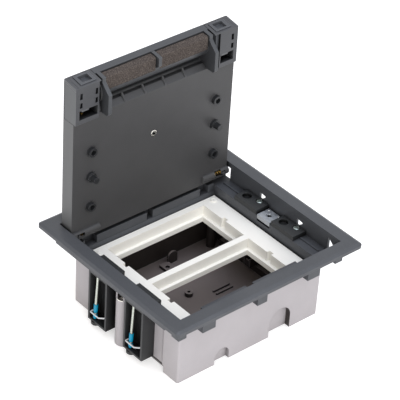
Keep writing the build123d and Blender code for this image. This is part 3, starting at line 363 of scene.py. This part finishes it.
def line_of(mesh, points):
    """Open line of edges through a few points."""
    dots = [mesh.verts.new(point) for point in points]
    return dots + [mesh.edges.new(pair) for pair in zip(dots, dots[1:])]


def turned(profile, steps=32):
    """Round piece turned about Z from a profile of (radius, height) points."""
    mesh = bmesh.new()
    line = line_of(mesh, [(radius, 0, height) for radius, height in profile])
    bmesh.ops.spin(mesh, geom=line, cent=(0, 0, 0), axis=(0, 0, 1), angle=2 * math.pi, steps=steps, use_merge=True)
    return mesh


def cross_recess(mesh, arm, half, depth):
    """Bridges the open rim of a head to a cross, and sinks the cross into the head."""
    rim = [edge for edge in mesh.edges if edge.is_boundary]
    top = rim[0].verts[0].co.z
    quarter = [Vector((arm, -half, top)), Vector((arm, half, top)), Vector((half, half, top))]
    loop = [mesh.verts.new(Matrix.Rotation(math.radians(90 * k), 3, "Z") @ point)
            for k in range(4) for point in quarter]
    loop = [mesh.edges.new(pair) for pair in zip(loop, loop[1:] + loop[:1])]
    bmesh.ops.bridge_loops(mesh, edges=rim + loop)
    sunk = bmesh.ops.extrude_edge_only(mesh, edges=loop)["geom"]
    sunk = [item for item in sunk if isinstance(item, bmesh.types.BMVert)]
    bmesh.ops.scale(mesh, vec=(0.82, 0.82, 1), verts=sunk)
    bmesh.ops.translate(mesh, vec=(0, 0, -depth), verts=sunk)
    return closed(mesh)


def pan_head(radius, thick, depth):
    """Pan head of a screw with a cross recess, with its top at the origin."""
    mesh = turned([(0, -thick), (radius, -thick), (radius, -0.35 * thick), (0.93 * radius, -0.1 * thick),
                   (0.8 * radius, 0)], 48)
    bmesh.ops.remove_doubles(mesh, verts=mesh.verts, dist=0.002 * MM)
    return cross_recess(mesh, 0.6 * radius, 0.15 * radius, depth)


def threaded_rod(low, top, pitch, root, crest, steps=16):
    """Rod with a rolled thread: a zigzag line goes round once while it climbs by one pitch."""
    mesh = bmesh.new()
    turns = int((top - low) / pitch)
    line = line_of(mesh, [(crest if k % 2 else root, 0, low + 0.5 * pitch * k) for k in range(2 * turns + 1)])
    bmesh.ops.spin(mesh, geom=line, cent=(0, 0, 0), axis=(0, 0, 1), dvec=(0, 0, pitch / steps),
                   angle=2 * math.pi, steps=steps, use_merge=False)
    return closed(mesh)


def coil_of(radius, wire, length, turns, steps=20):
    """Coil of round wire along Z, with a closed turn at each end. wire is half the thickness."""
    mesh = bmesh.new()
    bmesh.ops.create_circle(mesh, cap_ends=False, segments=8, radius=wire,
                            matrix=Matrix.Translation((radius, 0, wire)) @ Matrix.Rotation(math.pi / 2, 4, "X"))
    last = mesh.verts[:] + mesh.edges[:]
    for whole, rise in ((1, 2 * wire), (turns, length - 6 * wire), (1, 2 * wire)):
        done = bmesh.ops.spin(mesh, geom=last, cent=(0, 0, 0), axis=(0, 0, 1),
                              dvec=(0, 0, rise / (whole * steps)), angle=2 * math.pi * whole,
                              steps=whole * steps, use_merge=False)
        last = done["geom_last"]
    return closed(mesh)


def on_axis(mesh, start, axis):
    """Turns a mesh made along +Z to an axis, with its origin at start."""
    turn = Vector((0, 0, 1)).rotation_difference(Vector(axis)).to_matrix().to_4x4()
    bmesh.ops.transform(mesh, matrix=Matrix.Translation(start) @ turn, verts=mesh.verts)
    return mesh


def joint(name):
    return next(j for j in record["behaviour"]["joints"] if j["name"] == name)


def clamp_screw(name):
    """Clamp screw with a rolled thread of half a millimetre pitch, and its blue end cap."""
    hinge = joint("clamp_screw_turn_" + name)
    low = -(SCREW_LENGTH - TIP_LENGTH)
    shank = threaded_rod(low, -1.9 * MM, THREAD_PITCH, THREAD_ROOT, THREAD_CREST)
    shank = on_axis(shank, hinge["pos_m"], hinge["axis"])
    shank = piece_from(shank, "thread_" + name, "screw_" + name, bright_steel)
    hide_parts("clamp_screw_" + name)
    head = on_axis(pan_head(2.85 * MM, 1.9 * MM, 1.0 * MM), hinge["pos_m"], hinge["axis"])
    piece_from(head, "clamp_head_" + name, "screw_" + name, head_steel, smooth=False)
    cap = turned([(0, low + 0.5 * MM), (1.6 * MM, low + 0.5 * MM), (1.9 * MM, low + 0.2 * MM),
                  (1.85 * MM, low - 2.0 * MM), (1.2 * MM, low - 4.2 * MM), (0.8 * MM, low - TIP_LENGTH),
                  (0, low - TIP_LENGTH)])
    cap = on_axis(closed(cap), hinge["pos_m"], hinge["axis"])
    piece_from(cap, "clamp_cap_" + name, "screw_" + name, blue_nylon)


def lid_screw():
    low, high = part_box("lid_screw")
    radius = (high.x - low.x) / 2
    place = Vector(((low.x + high.x) / 2, low.y, (low.z + high.z) / 2))
    head = on_axis(pan_head(radius, 1.4 * MM, 0.8 * MM), place, (0, -1, 0))
    head = piece_from(head, "lid_screw_head", "lid", nickel_steel, smooth=False)
    shank = on_axis(closed(turned([(2.0 * MM, -(high.y - low.y)), (2.0 * MM, -1.3 * MM)])), place, (0, -1, 0))
    shank = piece_from(shank, "lid_screw_shank", "lid", zinc_steel)
    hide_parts("lid_screw")


def round_spring(node, along, turns, wire):
    """Coil spring of round wire with two closed end turns, in the box of its CAD node."""
    low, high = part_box(node)
    across = 1 if along == 0 else 0
    radius = (high[across] - low[across]) / 2 - wire
    middle = (low + high) / 2
    start = Vector(middle)
    start[along] = low[along]
    coil = coil_of(radius, wire, high[along] - low[along], turns)
    mesh = on_axis(coil, start, [1.0 if k == along else 0.0 for k in range(3)])
    spring = piece_from(mesh, node + "_wire", None, spring_brass)
    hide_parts(node)
    still, free = Vector(middle), Vector(middle)
    inner, outer = (low, high) if along == 2 or low.x > 0 else (high, low)
    still[along], free[along] = inner[along], outer[along]
    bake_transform(spring)


def extruded(outline, along):
    """Flat outline of points, extruded along a vector."""
    mesh = bmesh.new()
    face = mesh.faces.new([mesh.verts.new(point) for point in outline])
    grown = bmesh.ops.extrude_face_region(mesh, geom=[face])
    moved = [item for item in grown["geom"] if isinstance(item, bmesh.types.BMVert)]
    bmesh.ops.translate(mesh, vec=along, verts=moved)
    bmesh.ops.recalc_face_normals(mesh, faces=mesh.faces)
    return mesh


def plate_piece(name, outline, x0, x1, body, material):
    """Flat piece with an outline of (y, z) points in metres, between two values of x."""
    mesh = extruded([(x0, y, z) for y, z in outline], (x1 - x0, 0, 0))
    return piece_from(mesh, name, body, material, smooth=False)


def arc(y, z, radius, first, last, steps=10):
    return [(y + radius * math.cos(math.radians(first + (last - first) * k / steps)),
             z + radius * math.sin(math.radians(first + (last - first) * k / steps))) for k in range(steps + 1)]


def flap_guide(side, sign):
    """Curved guide between a fin of the flap and the latch, and the round ear of the pivot below it."""
    blade = arc(LID_FACE + 9.0 * MM, LID_END - 17.0 * MM, 12.0 * MM, 118, 212)
    blade += arc(LID_FACE + 11.0 * MM, LID_END - 17.0 * MM, 8.0 * MM, 212, 118)
    x0, x1 = sorted((sign * 58.9 * MM, sign * 60.0 * MM))
    plate_piece("flap_blade_" + side, blade, x0, x1, "flap", lid_abs)
    ear = arc(LID_FACE + 6.0 * MM, WINDOW_EDGE + 4.5 * MM, 8.6 * MM, 100, 260)
    x0, x1 = sorted((sign * 60.7 * MM, sign * 61.9 * MM))
    plate_piece("pivot_ear_" + side, ear, x0, x1, "lid", lid_abs)


def shelf_gusset(number, x):
    """Small triangular rib that stands on the sloping shelf below the flap."""
    outline = [(LID_FACE + 0.6 * MM, WINDOW_EDGE), (LID_FACE + 0.8 * MM, WINDOW_EDGE + 1.8 * MM),
               (LID_FACE + 5.2 * MM, WINDOW_EDGE + 6.6 * MM), (LID_FACE + 6.2 * MM, WINDOW_EDGE + 3.2 * MM)]
    plate_piece("shelf_gusset_%d" % number, outline, x - 0.7 * MM, x + 0.7 * MM, "lid", lid_abs)


def lid_corner(side, sign):
    """Sharp outer corner of the lid and the latch housing, over their rounded CAD corner."""
    radius, edge = LID_CORNER_RADIUS, sign * LID_SIDE
    rounding = [(edge - sign * radius * (1 - math.sin(math.radians(7.5 * k))),
                 LID_END - radius * (1 - math.cos(math.radians(7.5 * k)))) for k in range(13)]
    mesh = extruded([(x, 0, z) for x, z in [(edge, LID_END)] + rounding[::-1]], (0, 16.1 * MM, 0))
    bmesh.ops.translate(mesh, vec=(0, 63.33 * MM, 0), verts=mesh.verts)
    lean = Matrix.Translation((0, 0, -FLOOR_LEVEL * LID_SLOPE)) @ Matrix(((1, 0, 0, 0), (0, 1, 0, 0),
                                                                        (0, LID_SLOPE, 1, 0), (0, 0, 0, 1)))
    bmesh.ops.transform(mesh, matrix=lean, verts=mesh.verts)
    piece_from(closed(mesh), "lid_corner_" + side, "lid", latch_abs, smooth=False)


def clamp_sleeve(name):
    """Blue sleeve on the clamp screw: a flange at its top, ribs and a slightly narrower foot."""
    hinge = joint("clamp_screw_turn_" + name)
    top, foot, bore = -40.5 * MM, -49.0 * MM, 1.5 * MM
    line = [(bore, top), (1.75 * MM, top), (2.0 * MM, top - 0.25 * MM), (2.0 * MM, top - 1.0 * MM),
            (1.85 * MM, top - 1.3 * MM)]
    for k in range(4):
        low = top - (2.1 + 1.2 * k) * MM
        line += [(1.8 * MM, low), (1.92 * MM, low - 0.25 * MM), (1.92 * MM, low - 0.6 * MM),
                 (1.8 * MM, low - 0.85 * MM)]
    line += [(1.75 * MM, foot + 0.3 * MM), (1.6 * MM, foot), (bore, foot), (bore, top)]
    mesh = closed(turned(line))
    sleeve = piece_from(on_axis(mesh, hinge["pos_m"], hinge["axis"]), "sleeve_" + name + "_ribbed",
                        "sleeve_" + name, blue_nylon)
    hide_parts("clamp_sleeve_" + name)


def arc_shell(name, middle, radii, turns, heights, body, material):
    """Part of an upright tube wall between two directions in degrees."""
    mesh = bmesh.new()
    corners = [(radii[0], heights[0]), (radii[1], heights[0]), (radii[1], heights[1]), (radii[0], heights[1])]
    line = line_of(mesh, [(radius, 0, height) for radius, height in corners])
    line.append(mesh.edges.new((line[3], line[0])))
    bmesh.ops.rotate(mesh, cent=(0, 0, 0), matrix=Matrix.Rotation(math.radians(turns[0]), 3, "Z"), verts=mesh.verts)
    bmesh.ops.spin(mesh, geom=line, cent=(0, 0, 0), axis=(0, 0, 1), angle=math.radians(turns[1] - turns[0]),
                   steps=24, use_merge=False)
    bmesh.ops.translate(mesh, vec=(middle[0], middle[1], 0), verts=mesh.verts)
    return piece_from(closed(mesh), name, body, material, smooth=False)


def column_hood(side, sign):
    """Wall that carries a column of the tub up to the frame, with an open niche in front of its screw and a
    bright nickel rim at the foot of the niche, a painted highlight."""
    for number, turns in enumerate(((96, 163), (222, 264)) if sign < 0 else ((-84, -42), (17, 84))):
        arc_shell("column_hood_%s_%d" % (side, number), (sign * COLUMN_X, 0.0), (5.9 * MM, 6.98 * MM), turns,
                  (48.4 * MM, 56.0 * MM), "box", tub_styrene)
    # painted highlight: a bright nickel arc where the screw in the niche catches the light
    arc_shell("column_glint_rim_" + side, (sign * COLUMN_X, 0.0), (6.2 * MM, 7.05 * MM),
              (163, 222) if sign < 0 else (-42, 17), (48.2 * MM, 49.0 * MM), "box", nickel_steel)


def bolt_tail(side, sign):
    """Pale face of the bolt's tail, a painted highlight, seen through the window of the housing."""
    outline = [(65.53 * MM, 196.0 * MM), (65.53 * MM, 198.7 * MM), (65.75 * MM, 198.9 * MM), (65.75 * MM, 195.8 * MM)]
    x0, x1 = sorted((sign * 71.0 * MM, sign * 78.0 * MM))
    plate_piece("bolt_tail_" + side, outline, x0, x1, "latch_" + side, lit_tail_abs)


def floor_rails():
    """Two low rails that stand in the grooves of the tub's floor."""
    for number, y in enumerate((3.9 * MM, -0.6 * MM)):
        outline = [(y - 0.75 * MM, 1.0 * MM), (y - 0.7 * MM, 3.6 * MM), (y - 0.5 * MM, 3.9 * MM),
                   (y + 0.5 * MM, 3.9 * MM), (y + 0.7 * MM, 3.6 * MM), (y + 0.75 * MM, 1.0 * MM)]
        plate_piece("floor_rail_%d" % number, outline, 23.1 * MM, 41.9 * MM, "box", tub_styrene)


def wall_clip():
    """Cable clip on the right inner wall of the tub: two cheeks, a back and a toe that turns up."""
    for number, (y0, y1) in enumerate(((4.0, 5.4), (11.6, 13.0))):
        outline = [(y0 * MM, 9.0 * MM), (y0 * MM, 18.5 * MM), (y1 * MM, 18.5 * MM), (y1 * MM, 9.0 * MM)]
        plate_piece("clip_cheek_%d" % number, outline, 65.0 * MM, 75.2 * MM, "box", tub_styrene)
    toe = [(5.4 * MM, 9.0 * MM), (5.4 * MM, 14.5 * MM), (6.8 * MM, 16.0 * MM), (10.2 * MM, 16.0 * MM),
           (11.6 * MM, 14.5 * MM), (11.6 * MM, 9.0 * MM)]
    plate_piece("clip_toe", toe, 65.3 * MM, 66.7 * MM, "box", tub_styrene)
    shelf = [(5.4 * MM, 9.0 * MM), (5.4 * MM, 10.2 * MM), (11.6 * MM, 10.2 * MM), (11.6 * MM, 9.0 * MM)]
    plate_piece("clip_shelf", shelf, 66.7 * MM, 75.2 * MM, "box", tub_styrene)


def earth_terminal():
    """Earth screw in its plate: bright raised ring, a dark dish of painted shade, cross recess, and two round pips
    behind it.
    """
    low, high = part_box("earth_screw")
    place = Vector(((low.x + high.x) / 2, (low.y + high.y) / 2, high.z))
    ring = turned([(1.95 * MM, -1.6 * MM), (2.8 * MM, -1.6 * MM), (2.8 * MM, -0.1 * MM), (2.6 * MM, 0.15 * MM),
                   (2.15 * MM, 0.1 * MM), (1.95 * MM, -0.6 * MM), (1.95 * MM, -1.6 * MM)], 48)
    screw = piece_from(on_axis(closed(ring), place, (0, 0, 1)), "earth_screw_head", "box",
                       zinc_steel, smooth=False)
    dish = turned([(0, -1.5 * MM), (1.94 * MM, -1.5 * MM), (1.94 * MM, -0.7 * MM)], 48)
    bmesh.ops.remove_doubles(dish, verts=dish.verts, dist=0.002 * MM)
    dish = cross_recess(dish, 1.4 * MM, 0.4 * MM, 0.6 * MM)
    piece_from(on_axis(dish, place, (0, 0, 1)), "earth_screw_dish", "box", dark_steel, smooth=False)
    shank = closed(turned([(2.0 * MM, low.z - high.z), (2.0 * MM, -1.5 * MM)]))
    piece_from(on_axis(shank, place, (0, 0, 1)), "earth_screw_shank", "box", zinc_steel)
    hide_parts("earth_screw")
    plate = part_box("earth_plate")
    for number, y in enumerate((-6.2 * MM, 6.2 * MM)):
        pip = closed(turned([(0, -0.1 * MM), (0.75 * MM, -0.1 * MM), (0.7 * MM, 0.15 * MM), (0.45 * MM, 0.35 * MM),
                             (0, 0.42 * MM)]))
        piece_from(on_axis(pip, Vector((85.0 * MM, y, plate[1].z)), (0, 0, 1)), "earth_pip_%d" % number, "box",
                   nickel_steel)


for side, sign in SIDES.items():
    foam_strip(side)
    round_spring("hinge_spring_" + side, 0, 7, 0.25 * MM)
    round_spring("latch_spring_" + side, 2, 5, 0.22 * MM)
    flap_guide(side, sign)
    lid_corner(side, sign)
    column_hood(side, sign)
    bolt_tail(side, sign)
for clamp in CLAMPS:
    clamp_screw(clamp)
    clamp_sleeve(clamp)
lid_screw()
earth_terminal()
floor_rails()
wall_clip()
for number, x in enumerate((-32.4 * MM, -10.8 * MM, 10.8 * MM, 32.4 * MM)):
    shelf_gusset(number, x)


# Floor, light and camera

def seen_directly(tree):
    """1 for rays from the camera and from gloss and glass, and 0 for the rays that light the object."""
    seen = add(tree, "ShaderNodeLightPath")
    direct = add(tree, "ShaderNodeMath", {0: seen.outputs["Is Camera Ray"], 1: seen.outputs["Is Glossy Ray"]},
                 operation="MAXIMUM")
    return add(tree, "ShaderNodeMath", {0: direct.outputs[0], 1: seen.outputs["Is Transmission Ray"]},
               operation="MAXIMUM").outputs[0]


def white_floor():
    """White paper that keeps the object's shadow; its own glow is seen directly and lights nothing."""
    mesh = bmesh.new()
    bmesh.ops.create_grid(mesh, x_segments=1, y_segments=1, size=4.0)
    bmesh.ops.translate(mesh, vec=(0, 0, -0.2 * MM), verts=mesh.verts)
    data = bpy.data.meshes.new("floor")
    mesh.to_mesh(data)
    mesh.free()
    floor = bpy.data.objects.new("floor", data)
    bpy.context.scene.collection.objects.link(floor)
    material, tree, place = new_material("white_studio_paper")
    direct = seen_directly(tree)
    paper = add(tree, "ShaderNodeBsdfDiffuse", {"Color": linear("#EDEDED")})
    glow = add(tree, "ShaderNodeEmission", {"Color": linear("#FFFFFF"), "Strength": 0.45})
    both = add(tree, "ShaderNodeAddShader", {0: paper.outputs[0], 1: glow.outputs[0]})
    surface = add(tree, "ShaderNodeMixShader", {0: direct, 1: paper.outputs[0], 2: both.outputs[0]})
    add(tree, "ShaderNodeOutputMaterial", {"Surface": surface.outputs[0]})
    data.materials.append(material)


def soft_sky(strength):
    """Even light from all round, with a white background where it is seen directly."""
    world = bpy.data.worlds.new("studio")
    bpy.context.scene.world = world
    world.use_nodes = True
    tree = world.node_tree
    tree.nodes.clear()
    direct = seen_directly(tree)
    light = add(tree, "ShaderNodeBackground", {"Color": linear("#FFFAF4"), "Strength": strength})
    white = add(tree, "ShaderNodeBackground", {"Color": linear("#FFFFFF"), "Strength": 1.0})
    sky = add(tree, "ShaderNodeMixShader", {0: direct, 1: light.outputs[0], 2: white.outputs[0]})
    add(tree, "ShaderNodeOutputWorld", {"Surface": sky.outputs[0]})


def lamp(name, place, aim, size, power, tint):
    data = bpy.data.lights.new(name, "AREA")
    data.color = linear(tint)[:3]
    data.shape = "SQUARE"
    data.size = size
    data.energy = power
    made = bpy.data.objects.new(name, data)
    bpy.context.scene.collection.objects.link(made)
    made.location = place
    made.rotation_euler = (Vector(aim) - Vector(place)).to_track_quat("-Z", "Y").to_euler()


CAMERA_PLACE = Vector((-0.9470, -1.0400, 1.1229))
CAMERA_TURN = (54.2746, -2.9446, -40.1260)
CAMERA_LENS = 186.58


def camera():
    data = bpy.data.cameras.new("camera")
    data.sensor_width = 36.0
    data.lens = CAMERA_LENS
    data.clip_end = 20.0
    made = bpy.data.objects.new("camera", data)
    bpy.context.scene.collection.objects.link(made)
    made.location = CAMERA_PLACE
    made.rotation_euler = Euler([math.radians(a) for a in CAMERA_TURN])
    bpy.context.scene.camera = made


white_floor()
soft_sky(0.82)
lamp("top_softbox", (0.1, -0.3, 2.0), (0, 0, 0.08), 1.8, 22.0, "#DCE8FF")
lamp("front_softbox", (-0.95, -1.45, 0.75), (0, 0, 0.08), 1.0, 18.0, "#FFFFFF")
camera()
bpy.context.scene.view_settings.view_transform = "Standard"
